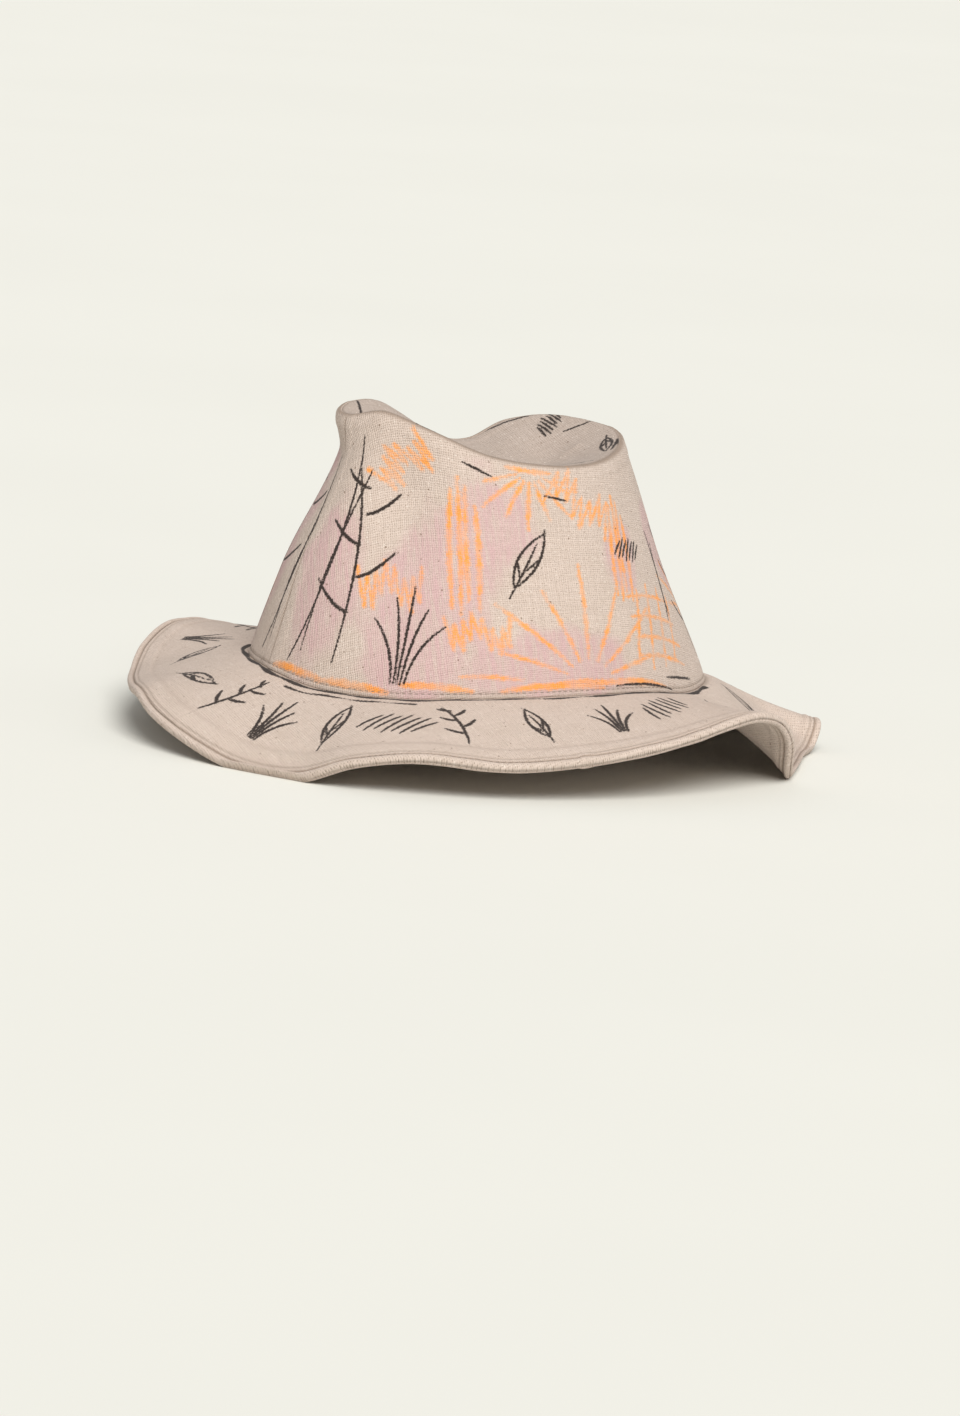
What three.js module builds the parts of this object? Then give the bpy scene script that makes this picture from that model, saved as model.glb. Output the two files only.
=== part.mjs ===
// Canvas fedora hat with a creased tip, pinched fronts and a floppy, wavy brim.
// Millimetres, +Z up. The front of the hat faces -Y and the wearer's left is +X.
// The hat stands on three low waves of its brim, and the origin is on that floor,
// under the middle of the hat's box.

import * as THREE from "three";

// Crown: outside length and width at the brim seam, height of the front peak above the seam
const headLength = 207;
const headWidth = 172;
const crownHeight = 117;

// Tip: the oval panel inside the rim, and how deep its lengthwise crease is
const tipLength = 136;
const tipWidth = 92;
const creaseDepth = 31;

// Brim: width of the cloth from the seam to the edge, how far it laps inward past the crown
// wall that stands on it, and the length of cloth that bends at the seam
const brimWidth = 59;
const marginLap = 1.2;
const rootBend = 7;

// Height of the waves that the brim pulls into the seam
const seamWave = 4;

// Cloth thicknesses and the clearance between neighbouring pieces
const crownCloth = 1.4;
const tipCloth = 1.4;
const brimCloth = 1.2;
const seamGap = 0.3;

// Shape of the walls: outward swell. Where the brim stands on the floor its edge strip is
// pressed flat, by this depth of cloth.
const wallSwell = 0.8;
const pressDepth = 2.4;
const edgeStrip = 2.6;

// Facets
const brimSectors = 96;
const brimBands = 5;
const sideSectors = 38;
const sideBands = 10;
const tipSectors = 56;
const tipBands = 6;

// Clock angles are in degrees, from the front toward the wearer's left.
// The three low waves of the brim that the hat stands on.
const footClocks = [27, 148, 264];

// Rim of the crown: across is a share of half the tip width, along of half the tip length
// (minus is forward) and height of the crown height.
const rimRows = [
  { clock: 0, across: -0.02, along: -1.02, height: 0.97 },
  { clock: 20, across: 0.33, along: -0.9, height: 1.0 },
  { clock: 40, across: 0.6, along: -0.67, height: 0.945 },
  { clock: 65, across: 0.86, along: -0.32, height: 0.857 },
  { clock: 90, across: 1.0, along: 0.07, height: 0.82 },
  { clock: 115, across: 0.92, along: 0.42, height: 0.818 },
  { clock: 140, across: 0.63, along: 0.7, height: 0.838 },
  { clock: 160, across: 0.3, along: 0.86, height: 0.862 },
  { clock: 180, across: -0.02, along: 0.92, height: 0.88 },
  { clock: 205, across: -0.46, along: 0.86, height: 0.89 },
  { clock: 230, across: -0.8, along: 0.69, height: 0.888 },
  { clock: 250, across: -0.96, along: 0.46, height: 0.86 },
  { clock: 270, across: -0.92, along: 0.19, height: 0.8 },
  { clock: 290, across: -0.78, along: -0.13, height: 0.832 },
  { clock: 315, across: -0.67, along: -0.57, height: 0.97 },
  { clock: 332, across: -0.52, along: -0.84, height: 0.985 },
  { clock: 347, across: -0.3, along: -0.99, height: 0.97 },
];

// Dents of the crown wall: spread is in degrees, depth a share of half the head width,
// low, deep and high are shares of the wall's height.
const wallDents = [
  { clock: 35, spread: 15, depth: 0.085, low: 0.1, deep: 0.72, high: 1.0 },
  { clock: 318, spread: 14, depth: 0.08, low: 0.1, deep: 0.72, high: 1.0 },
  { clock: 348, spread: 22, depth: 0.085, low: 0.35, deep: 0.82, high: 1.0 },
  { clock: 78, spread: 16, depth: 0.018, low: 0.1, deep: 0.6, high: 1.0 },
  { clock: 160, spread: 35, depth: 0.025, low: 0.0, deep: 0.5, high: 1.0 },
  { clock: 262, spread: 22, depth: 0.03, low: 0.1, deep: 0.6, high: 1.0 },
];

// Crease of the tip: along is a share of half the tip length, depth of the crease depth.
const creaseRows = [
  { along: -1.0, depth: 0.0 },
  { along: -0.7, depth: 0.3 },
  { along: -0.35, depth: 0.62 },
  { along: 0.05, depth: 0.95 },
  { along: 0.4, depth: 0.92 },
  { along: 0.75, depth: 0.6 },
  { along: 1.0, depth: 0.35 },
];
const creaseReach = 0.74;
const creaseHalfWidth = 0.035;

// Waves of the brim seam: lift is a share of the wave height.
const seamRows = [
  { clock: 0, lift: 0.95 },
  { clock: 22, lift: 0.15 },
  { clock: 42, lift: 0.15 },
  { clock: 65, lift: 0.6 },
  { clock: 90, lift: 0.75 },
  { clock: 110, lift: 0.35 },
  { clock: 130, lift: -0.8 },
  { clock: 150, lift: -1.05 },
  { clock: 165, lift: -1.45 },
  { clock: 180, lift: -1.7 },
  { clock: 198, lift: -1.1 },
  { clock: 215, lift: 0.1 },
  { clock: 262, lift: -0.5 },
  { clock: 300, lift: 0.4 },
  { clock: 335, lift: 0.9 },
];

// Brim waves: root and edge are the droop below level in degrees at the seam and at the edge,
// width a share of the brim width.
const brimRows = [
  { clock: 0, root: 10, edge: 25, width: 0.98 },
  { clock: 9, root: 13, edge: 33.5, width: 0.99 },
  { clock: 21, root: 16, edge: 44, width: 1.0 },
  { clock: 32, root: 15, edge: 42.5, width: 1.0 },
  { clock: 42, root: 10, edge: 25.5, width: 1.0 },
  { clock: 53, root: 9, edge: 18.5, width: 1.0 },
  { clock: 67, root: 11, edge: 25, width: 1.0 },
  { clock: 80, root: 10, edge: 22.5, width: 1.0 },
  { clock: 92, root: 8, edge: 15, width: 1.0 },
  { clock: 100, root: 5, edge: 9, width: 1.0 },
  { clock: 107, root: 2, edge: 3, width: 1.0 },
  { clock: 114, root: 1, edge: -1, width: 1.0 },
  { clock: 120, root: 3, edge: 3, width: 1.0 },
  { clock: 124, root: 8, edge: 14, width: 1.0 },
  { clock: 128, root: 18, edge: 32, width: 0.99 },
  { clock: 133, root: 25, edge: 43, width: 0.98 },
  { clock: 143, root: 29, edge: 47, width: 0.945 },
  { clock: 153, root: 30, edge: 48, width: 0.96 },
  { clock: 160, root: 27, edge: 39, width: 1.0 },
  { clock: 163.5, root: 25, edge: 20, width: 1.0 },
  { clock: 168, root: 28, edge: 19, width: 1.0 },
  { clock: 177, root: 34, edge: 25, width: 1.0 },
  { clock: 190, root: 35, edge: 29, width: 1.0 },
  { clock: 205, root: 24, edge: 30, width: 1.0 },
  { clock: 224, root: 4, edge: 10, width: 1.0 },
  { clock: 240, root: 7, edge: 19, width: 1.0 },
  { clock: 252, root: 16, edge: 44, width: 1.0 },
  { clock: 264, root: 20, edge: 54, width: 1.0 },
  { clock: 277, root: 15, edge: 41, width: 1.0 },
  { clock: 292, root: 4, edge: 8, width: 1.0 },
  { clock: 306, root: 1, edge: 1, width: 0.98 },
  { clock: 317, root: 4, edge: 11, width: 0.96 },
  { clock: 327, root: 8, edge: 24, width: 0.94 },
  { clock: 340, root: 8, edge: 25, width: 0.91 },
  { clock: 351, root: 8, edge: 19, width: 0.93 },
];

const fullTurn = 360;
const probeDegrees = 0.5;
const probeLength = 0.5;
const profileSteps = 24;

const radians = THREE.MathUtils.degToRad;
const smoothstep = THREE.MathUtils.smoothstep;

// Value of one column between two rows, with slopes taken from the rows around them.
function cubicBetween(before, from, to, after, key, column, at) {
  const span = to[key] - from[key];
  const share = (at - from[key]) / span;
  const slopeFrom = ((to[column] - before[column]) / (to[key] - before[key])) * span;
  const slopeTo = ((after[column] - from[column]) / (after[key] - from[key])) * span;
  const square = share * share;
  const cube = square * share;
  return (
    (2 * cube - 3 * square + 1) * from[column] +
    (cube - 2 * square + share) * slopeFrom +
    (3 * square - 2 * cube) * to[column] +
    (cube - square) * slopeTo
  );
}

// A row of a closed table, with its clock carried past a full turn.
function wrappedRow(rows, index) {
  const turns = Math.floor(index / rows.length);
  const row = rows[index - turns * rows.length];
  return { ...row, clock: row.clock + turns * fullTurn };
}

function aroundClock(rows, clock, column) {
  const angle = THREE.MathUtils.euclideanModulo(clock, fullTurn);
  let index = rows.length - 1;
  while (rows[index].clock > angle) {
    index -= 1;
  }
  const near = [-1, 0, 1, 2].map((step) => wrappedRow(rows, index + step));
  return cubicBetween(...near, "clock", column, angle);
}

// Value along an open table, held level past its ends.
function alongTable(rows, key, column, at) {
  const last = rows.length - 1;
  const place = THREE.MathUtils.clamp(at, rows[0][key], rows[last][key]);
  let index = 0;
  while (index < last - 1 && rows[index + 1][key] < place) {
    index += 1;
  }
  const share = (place - rows[index][key]) / (rows[index + 1][key] - rows[index][key]);
  return THREE.MathUtils.lerp(rows[index][column], rows[index + 1][column], smoothstep(share, 0, 1));
}

function clockDirection(clock) {
  return new THREE.Vector3(Math.sin(radians(clock)), -Math.cos(radians(clock)), 0);
}

// Outside of the crown at the brim seam
function seamPoint(clock) {
  const direction = clockDirection(clock);
  const lift = aroundClock(seamRows, clock, "lift") * seamWave;
  return new THREE.Vector3((direction.x * headWidth) / 2, (direction.y * headLength) / 2, lift);
}

function seamOutward(clock) {
  const direction = clockDirection(clock);
  return new THREE.Vector3(direction.x * headLength, direction.y * headWidth, 0).normalize();
}

// Middle surface of the brim, reach millimetres out from the seam along the cloth.
function brimPoint(clock, reach) {
  const root = radians(aroundClock(brimRows, clock, "root"));
  const edge = radians(aroundClock(brimRows, clock, "edge"));
  const share = aroundClock(brimRows, clock, "width");
  const outward = seamOutward(clock);
  const point = seamPoint(clock);
  if (reach <= 0) {
    return point.addScaledVector(outward, reach);
  }
  const step = (reach * share) / profileSteps;
  for (let index = 0; index < profileSteps; index += 1) {
    const along = (reach * (index + 0.5)) / profileSteps;
    const droop = root * smoothstep(along, 0, rootBend) + (edge - root) * (along / brimWidth);
    point.addScaledVector(outward, step * Math.cos(droop));
    point.z -= step * Math.sin(droop);
  }
  return point;
}

function brimNormal(clock, reach) {
  const around = brimPoint(clock + probeDegrees, reach).sub(brimPoint(clock - probeDegrees, reach));
  const outward = brimPoint(clock, reach + probeLength).sub(brimPoint(clock, reach - probeLength));
  return outward.cross(around).normalize();
}

function brimOffset(clock, reach, offset) {
  return brimPoint(clock, reach).addScaledVector(brimNormal(clock, reach), offset);
}

// How the hat stands: the floor is the plane through the undersides of its three feet.
const undersideOffset = -(seamGap / 2 + brimCloth);
const feet = footClocks.map((clock) => brimOffset(clock, brimWidth, undersideOffset));
const floorPlane = new THREE.Plane().setFromCoplanarPoints(feet[0], feet[1], feet[2]);
const upright = new THREE.Quaternion().setFromUnitVectors(floorPlane.normal, new THREE.Vector3(0, 0, 1));

function stand(point) {
  const placed = point.clone().applyQuaternion(upright);
  placed.z += floorPlane.constant - pressDepth;
  return placed;
}

// Cloth near the floor lies flat on it, each layer on the one below.
function laid(clock, reach, offset, level) {
  const point = stand(brimOffset(clock, reach, offset));
  point.z = Math.max(point.z, level);
  return point;
}

function rimPoint(clock) {
  return new THREE.Vector3(
    (aroundClock(rimRows, clock, "across") * tipWidth) / 2,
    (aroundClock(rimRows, clock, "along") * tipLength) / 2,
    aroundClock(rimRows, clock, "height") * crownHeight,
  );
}

function dentDepth(clock, height) {
  let depth = 0;
  for (const dent of wallDents) {
    const turn = THREE.MathUtils.euclideanModulo(clock - dent.clock + fullTurn / 2, fullTurn) - fullTurn / 2;
    const sideways = Math.exp(-((turn / dent.spread) ** 2));
    const upward = smoothstep(height, dent.low, dent.deep) * (1 - smoothstep(height, dent.deep, dent.high));
    depth += (dent.depth * headWidth * sideways * upward) / 2;
  }
  return depth;
}

// Outside of the crown wall, with height going from 0 at the seam to 1 at the rim.
function wallPoint(clock, height) {
  const foot = seamPoint(clock);
  foot.z += seamGap / 2 + brimCloth + seamGap;
  const swell = wallSwell * (1 - (2 * height - 1) ** 2);
  return foot
    .lerp(rimPoint(clock), height)
    .addScaledVector(seamOutward(clock), swell - dentDepth(clock, height));
}

// Level step into the hat that makes a wall one cloth thick.
function wallInward(clock, height, depth) {
  const around = wallPoint(clock + probeDegrees, height).sub(wallPoint(clock - probeDegrees, height));
  const upward = wallPoint(clock, height + probeLength / crownHeight).sub(
    wallPoint(clock, height - probeLength / crownHeight),
  );
  const normal = around.cross(upward).normalize();
  const level = Math.hypot(normal.x, normal.y);
  return new THREE.Vector3(normal.x, normal.y, 0).multiplyScalar(-depth / (level * level));
}

// Tip panel, with inset going from 0 at the rim to 1 at the crease.
function tipPoint(clock, inset) {
  const outline = rimPoint(clock).add(wallInward(clock, 1, crownCloth + seamGap));
  const crease = new THREE.Vector3(outline.x * creaseHalfWidth, outline.y * creaseReach, 0);
  const along = crease.y / (tipLength / 2);
  crease.z = crownHeight - creaseDepth * alongTable(creaseRows, "along", "depth", along);
  const slope = (inset + smoothstep(inset, 0, 1)) / 2;
  const point = outline.clone().lerp(crease, inset);
  point.z = THREE.MathUtils.lerp(outline.z, crease.z, slope);
  return point;
}

// Closed body between two grids of the same size, the outside or underside first.
// A strip has an edge all round. A ring joins its last column to its first, and a cap is
// a ring whose last row is zipped shut across the middle.
class Shell {
  constructor(columns, rows, first, second, form) {
    this.positions = [];
    this.faces = [];
    this.rows = rows;
    this.count = columns * rows;
    this.columns = columns;
    for (const surface of [first, second]) {
      for (let column = 0; column < columns; column += 1) {
        for (let row = 0; row < rows; row += 1) {
          this.positions.push(...surface(column, row).toArray());
        }
      }
    }
    const spans = form === "strip" ? columns - 1 : columns;
    for (let column = 0; column < spans; column += 1) {
      const next = (column + 1) % columns;
      this.addSpan(column, next);
      this.addEdge(next, column, 0);
      if (form !== "cap") {
        this.addEdge(column, next, rows - 1);
      }
    }
    if (form === "strip") {
      this.addEnd(0, false);
      this.addEnd(columns - 1, true);
    }
    if (form === "cap") {
      this.zipMiddle();
    }
  }

  corner(column, row, side) {
    return side * this.count + column * this.rows + row;
  }

  quad(a, b, c, d) {
    this.faces.push(a, b, c, a, c, d);
  }

  addSpan(column, next) {
    for (let row = 0; row < this.rows - 1; row += 1) {
      const [a, b] = [this.corner(column, row, 0), this.corner(next, row, 0)];
      const [c, d] = [this.corner(next, row + 1, 0), this.corner(column, row + 1, 0)];
      this.quad(a, b, c, d);
      this.faces.push(a + this.count, c + this.count, b + this.count);
      this.faces.push(a + this.count, d + this.count, c + this.count);
    }
  }

  addEdge(column, next, row) {
    this.quad(
      this.corner(column, row, 0), this.corner(next, row, 0),
      this.corner(next, row, 1), this.corner(column, row, 1),
    );
  }

  zipMiddle() {
    const last = this.rows - 1;
    const half = this.columns / 2;
    for (let column = 0; column < half; column += 1) {
      const mirror = (this.columns - column) % this.columns;
      const ring = [column, column + 1, mirror - 1, mirror].map((index) => {
        return (index + this.columns) % this.columns;
      });
      for (const side of [0, 1]) {
        const [a, b, c, d] = ring.map((index) => this.corner(index, last, side));
        const triangles = [[a, b, c], [a, c, d]];
        for (const triangle of triangles) {
          if (new Set(triangle).size === triangle.length) {
            this.faces.push(...(side === 0 ? triangle : triangle.reverse()));
          }
        }
      }
    }
  }

  addEnd(column, flipped) {
    for (let row = 0; row < this.rows - 1; row += 1) {
      const [a, b] = [this.corner(column, row, 0), this.corner(column, row + 1, 0)];
      const [c, d] = [this.corner(column, row + 1, 1), this.corner(column, row, 1)];
      if (flipped) {
        this.quad(a, d, c, b);
      } else {
        this.quad(a, b, c, d);
      }
    }
  }

  geometry() {
    const geometry = new THREE.BufferGeometry();
    geometry.setAttribute("position", new THREE.Float32BufferAttribute(this.positions, 3));
    geometry.setIndex(this.faces);
    return geometry;
  }
}

function brimLayer(lower, upper, lowerLevel, upperLevel) {
  const reaches = [-(crownCloth + marginLap)];
  for (let band = 0; band < brimBands; band += 1) {
    reaches.push(((brimWidth - edgeStrip) * band) / (brimBands - 1));
  }
  reaches.push(brimWidth);
  const clockAt = (column) => (fullTurn * column) / brimSectors;
  const underside = (column, row) => laid(clockAt(column), reaches[row], lower, lowerLevel);
  const upside = (column, row) => laid(clockAt(column), reaches[row], upper, upperLevel);
  return new Shell(brimSectors, reaches.length, underside, upside, "ring").geometry();
}

function brimTop() {
  const bottom = brimCloth + seamGap;
  return brimLayer(seamGap / 2, seamGap / 2 + brimCloth, bottom, bottom + brimCloth);
}

function brimFacing() {
  return brimLayer(undersideOffset, -seamGap / 2, 0, brimCloth);
}

// One half of the crown wall, between the front and back seams.
function crownSide(fromClock, toClock) {
  const halfSeam = THREE.MathUtils.radToDeg(seamGap / tipWidth);
  const start = fromClock + halfSeam;
  const end = toClock - halfSeam;
  const clockAt = (column) => THREE.MathUtils.lerp(start, end, column / sideSectors);
  const outside = (column, row) => stand(wallPoint(clockAt(column), row / sideBands));
  const inside = (column, row) => {
    const [clock, height] = [clockAt(column), row / sideBands];
    return stand(wallPoint(clock, height).add(wallInward(clock, height, crownCloth)));
  };
  return new Shell(sideSectors + 1, sideBands + 1, outside, inside, "strip").geometry();
}

function crownTip() {
  const clockAt = (column) => (fullTurn * column) / tipSectors;
  const surface = (drop) => (column, row) => {
    const point = tipPoint(clockAt(column), row / tipBands);
    point.z -= drop;
    return stand(point);
  };
  return new Shell(tipSectors, tipBands + 1, surface(0), surface(tipCloth), "cap").geometry();
}

function canvas(name, geometry, colour) {
  geometry.computeVertexNormals();
  const material = new THREE.MeshStandardMaterial({ color: colour, roughness: 0.95, metalness: 0 });
  const mesh = new THREE.Mesh(geometry, material);
  mesh.name = name;
  return mesh;
}

const hat = new THREE.Group();
hat.add(canvas("crown_side_left", crownSide(0, fullTurn / 2), 0xdcc9bb));
hat.add(canvas("crown_side_right", crownSide(fullTurn / 2, fullTurn), 0xccb7ab));
hat.add(canvas("crown_tip", crownTip(), 0xc5b2a7));
hat.add(canvas("brim_top", brimTop(), 0xe1d0c3));
hat.add(canvas("brim_facing", brimFacing(), 0xa09080));

// The origin goes under the middle of the hat's box.
const middle = new THREE.Box3().setFromObject(hat).getCenter(new THREE.Vector3());
hat.position.set(-middle.x, -middle.y, 0);

export default hat;
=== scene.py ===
"""Canvas fedora hat with a creased tip, pinched fronts and a floppy, wavy brim.

Lengths are millimetres until make_mesh() writes them in metres. The front of the hat faces -Y
and the wearer's left is +X. Clock angles are degrees from the front toward the wearer's left.
"""

import math
from collections import namedtuple

import bpy
import numpy as np
from mathutils import Matrix, Vector


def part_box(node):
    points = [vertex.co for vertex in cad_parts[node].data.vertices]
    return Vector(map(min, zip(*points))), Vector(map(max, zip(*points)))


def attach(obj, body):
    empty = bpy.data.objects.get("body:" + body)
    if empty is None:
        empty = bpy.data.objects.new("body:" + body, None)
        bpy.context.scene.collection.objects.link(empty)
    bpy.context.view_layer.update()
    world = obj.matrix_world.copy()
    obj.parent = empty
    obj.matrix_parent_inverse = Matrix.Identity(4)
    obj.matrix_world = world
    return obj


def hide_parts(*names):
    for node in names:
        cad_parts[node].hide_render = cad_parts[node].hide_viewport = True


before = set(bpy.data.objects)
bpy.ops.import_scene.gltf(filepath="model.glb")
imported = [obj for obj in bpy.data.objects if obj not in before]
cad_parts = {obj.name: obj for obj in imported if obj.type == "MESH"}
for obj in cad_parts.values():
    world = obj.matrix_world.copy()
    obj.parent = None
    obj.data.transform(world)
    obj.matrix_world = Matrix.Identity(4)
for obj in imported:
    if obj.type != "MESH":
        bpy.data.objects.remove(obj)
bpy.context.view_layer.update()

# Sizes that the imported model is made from
HEAD_LENGTH = 207
HEAD_WIDTH = 172
CROWN_HEIGHT = 117
TIP_LENGTH = 136
TIP_WIDTH = 92
CREASE_DEPTH = 31
BRIM_WIDTH = 59
MARGIN_LAP = 1.2
ROOT_BEND = 7
SEAM_WAVE = 4
CROWN_CLOTH = 1.4
TIP_CLOTH = 1.4
BRIM_CLOTH = 1.2
SEAM_GAP = 0.3
WALL_SWELL = 0.8
PRESS_DEPTH = 2.4
CREASE_REACH = 0.74
CREASE_HALF_WIDTH = 0.035
FOOT_CLOCKS = (27, 148, 264)
BRIM_SECTORS = 96

FULL_TURN, HALF_TURN = 360, 180
PROBE_DEGREES = 0.5
PROBE_LENGTH = 0.5
PROFILE_STEPS = 24
MM = 0.001


def table(columns, *rows):
    """Short table of numbers, kept as one array for each named column."""
    return dict(zip(columns.split(), np.array(rows, float).T))


RIM = table(
    "clock across along height",
    (0, -0.02, -1.02, 0.97), (20, 0.33, -0.9, 1), (40, 0.6, -0.67, 0.945),
    (65, 0.86, -0.32, 0.857), (90, 1, 0.07, 0.82), (115, 0.92, 0.42, 0.818),
    (140, 0.63, 0.7, 0.838), (160, 0.3, 0.86, 0.862), (180, -0.02, 0.92, 0.88),
    (205, -0.46, 0.86, 0.89), (230, -0.8, 0.69, 0.888), (250, -0.96, 0.46, 0.86),
    (270, -0.92, 0.19, 0.8), (290, -0.78, -0.13, 0.832), (315, -0.67, -0.57, 0.97),
    (332, -0.52, -0.84, 0.985), (347, -0.3, -0.99, 0.97),
)
WALL_DENTS = table(
    "clock spread depth low deep high",
    (35, 15, 0.085, 0.1, 0.72, 1), (318, 14, 0.08, 0.1, 0.72, 1),
    (348, 22, 0.085, 0.35, 0.82, 1), (78, 16, 0.018, 0.1, 0.6, 1),
    (160, 35, 0.025, 0, 0.5, 1), (262, 22, 0.03, 0.1, 0.6, 1),
)
CREASE = table(
    "along depth",
    (-1.0, 0.0), (-0.7, 0.3), (-0.35, 0.62), (0.05, 0.95), (0.4, 0.92), (0.75, 0.6), (1.0, 0.35),
)
SEAM = table(
    "clock lift",
    (0, 0.95), (22, 0.15), (42, 0.15), (65, 0.6), (90, 0.75), (110, 0.35), (130, -0.8),
    (150, -1.05), (165, -1.45), (180, -1.7), (198, -1.1), (215, 0.1), (262, -0.5), (300, 0.4),
    (335, 0.9),
)
BRIM = table(
    "clock root edge width",
    (0, 10, 25, 0.98), (9, 13, 33.5, 0.99), (21, 16, 44, 1), (32, 15, 42.5, 1),
    (42, 10, 25.5, 1), (53, 9, 18.5, 1), (67, 11, 25, 1), (80, 10, 22.5, 1),
    (92, 8, 15, 1), (100, 5, 9, 1), (107, 2, 3, 1), (114, 1, -1, 1),
    (120, 3, 3, 1), (124, 8, 14, 1), (128, 18, 32, 0.99), (133, 25, 43, 0.98),
    (143, 29, 47, 0.945), (153, 30, 48, 0.96), (160, 27, 39, 1), (163.5, 25, 20, 1),
    (168, 28, 19, 1), (177, 34, 25, 1), (190, 35, 29, 1), (205, 24, 30, 1),
    (224, 4, 10, 1), (240, 7, 19, 1), (252, 16, 44, 1), (264, 20, 54, 1),
    (277, 15, 41, 1), (292, 4, 8, 1), (306, 1, 1, 0.98), (317, 4, 11, 0.96),
    (327, 8, 24, 0.94), (340, 8, 25, 0.91), (351, 8, 19, 0.93),
)

# Shape of the hat


def smoothstep(x, low, high):
    share = np.clip((x - low) / (high - low), 0, 1)
    return share * share * (3 - 2 * share)


def bell(distance, width):
    return np.exp(-((distance / width) ** 2))


def clock_gap(clock, at):
    """Signed turn from one clock angle to another, the short way round."""
    return np.mod(clock - at + HALF_TURN, FULL_TURN) - HALF_TURN


def around_clock(rows, column, clock):
    """Smooth closed curve through one column of a table that goes round the clock."""
    keys, values, count = rows["clock"], rows[column], len(rows["clock"])
    angle = np.mod(clock, FULL_TURN)
    index = np.searchsorted(keys, angle, side="right") - 1
    near = []
    for step in (-1, 0, 1, 2):
        turns, row = np.divmod(index + step, count)
        near.append((keys[row] + FULL_TURN * turns, values[row]))
    (before, v0), (start, v1), (end, v2), (after, v3) = near
    span = end - start
    share = (angle - start) / span
    slope_in = (v2 - v0) / (end - before) * span
    slope_out = (v3 - v1) / (after - start) * span
    square, cube = share**2, share**3
    return (
        (2 * cube - 3 * square + 1) * v1
        + (cube - 2 * square + share) * slope_in
        + (3 * square - 2 * cube) * v2
        + (cube - square) * slope_out
    )


def along_table(rows, key, column, at):
    """Smooth steps between the rows of an open table, level past its ends."""
    keys, values = rows[key], rows[column]
    place = np.clip(at, keys[0], keys[-1])
    index = np.clip(np.searchsorted(keys, place) - 1, 0, len(keys) - 2)
    share = smoothstep(place, keys[index], keys[index + 1])
    return values[index] + (values[index + 1] - values[index]) * share


def unit(vectors):
    return vectors / np.linalg.norm(vectors, axis=-1, keepdims=True)


def points(x, y, z):
    return np.stack(np.broadcast_arrays(x, y, z), axis=-1).astype(float)


def even_clocks(count):
    return np.arange(count) * FULL_TURN / count


def clock_direction(clock):
    return np.sin(np.radians(clock)), -np.cos(np.radians(clock))


def seam_point(clock):
    x, y = clock_direction(clock)
    return points(x * HEAD_WIDTH / 2, y * HEAD_LENGTH / 2, around_clock(SEAM, "lift", clock) * SEAM_WAVE)


def seam_outward(clock):
    x, y = clock_direction(clock)
    return unit(points(x * HEAD_LENGTH, y * HEAD_WIDTH, 0.0))


def brim_point(clock, reach):
    """Middle surface of the brim, reach out from the seam along the cloth."""
    root = np.radians(around_clock(BRIM, "root", clock))
    edge = np.radians(around_clock(BRIM, "edge", clock))
    share = around_clock(BRIM, "width", clock)
    step = np.maximum(reach, 0) / PROFILE_STEPS
    out = np.minimum(reach, 0) + 0 * root
    down = 0 * out
    for index in range(PROFILE_STEPS):
        along = step * (index + 0.5)
        droop = root * smoothstep(along, 0, ROOT_BEND) + (edge - root) * along / BRIM_WIDTH
        out = out + step * share * np.cos(droop)
        down = down + step * share * np.sin(droop)
    point = seam_point(clock) + seam_outward(clock) * out[..., None]
    point[..., 2] -= down
    return point


def surface_normal(surface, clock, place, step):
    """Normal of a surface, from points close round it and along it."""
    around = surface(clock + PROBE_DEGREES, place) - surface(clock - PROBE_DEGREES, place)
    along = surface(clock, place + step) - surface(clock, place - step)
    return unit(np.cross(around, along))


def brim_normal(clock, reach):
    return -surface_normal(brim_point, clock, reach, PROBE_LENGTH)


def brim_offset(clock, reach, offset):
    return brim_point(clock, reach) + brim_normal(clock, reach) * np.asarray(offset)[..., None]


UNDERSIDE = -(SEAM_GAP / 2 + BRIM_CLOTH)


def floor_plane():
    """Constant of the plane under the three feet, and the turn that levels it."""
    edge = np.array(float(BRIM_WIDTH))
    a, b, c = (brim_offset(np.array(float(clock)), edge, UNDERSIDE) for clock in FOOT_CLOCKS)
    normal = unit(np.cross(c - b, a - b))
    turn = Vector(normal).rotation_difference(Vector((0, 0, 1))).to_matrix()
    return -a @ normal, np.array(turn)


FLOOR_CONSTANT, UPRIGHT = floor_plane()


def stand(point):
    """Turns and lifts the hat onto its feet."""
    placed = point @ UPRIGHT.T
    placed[..., 2] += FLOOR_CONSTANT - PRESS_DEPTH
    return placed


def laid(clock, reach, offset):
    """Point of the brim's cloth: near the floor it lies flat, each layer on the one below."""
    point = stand(brim_offset(clock, reach, offset))
    point[..., 2] = np.maximum(point[..., 2], np.maximum(offset - UNDERSIDE, 0))
    return point


def packed_shift():
    """Level shift from the shape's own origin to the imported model's."""
    clocks = even_clocks(BRIM_SECTORS)
    edge = np.concatenate([laid(clocks, BRIM_WIDTH + 0 * clocks, offset + 0 * clocks)
                           for offset in (UNDERSIDE, -SEAM_GAP / 2)])
    low, high = (np.array(corner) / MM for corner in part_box("brim_facing"))
    shift = (low + high - edge.min(axis=0) - edge.max(axis=0)) / 2
    return np.array([shift[0], shift[1], 0.0])


SHIFT = packed_shift()


def rim_point(clock):
    return points(
        around_clock(RIM, "across", clock) * TIP_WIDTH / 2,
        around_clock(RIM, "along", clock) * TIP_LENGTH / 2,
        around_clock(RIM, "height", clock) * CROWN_HEIGHT,
    )


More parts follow.
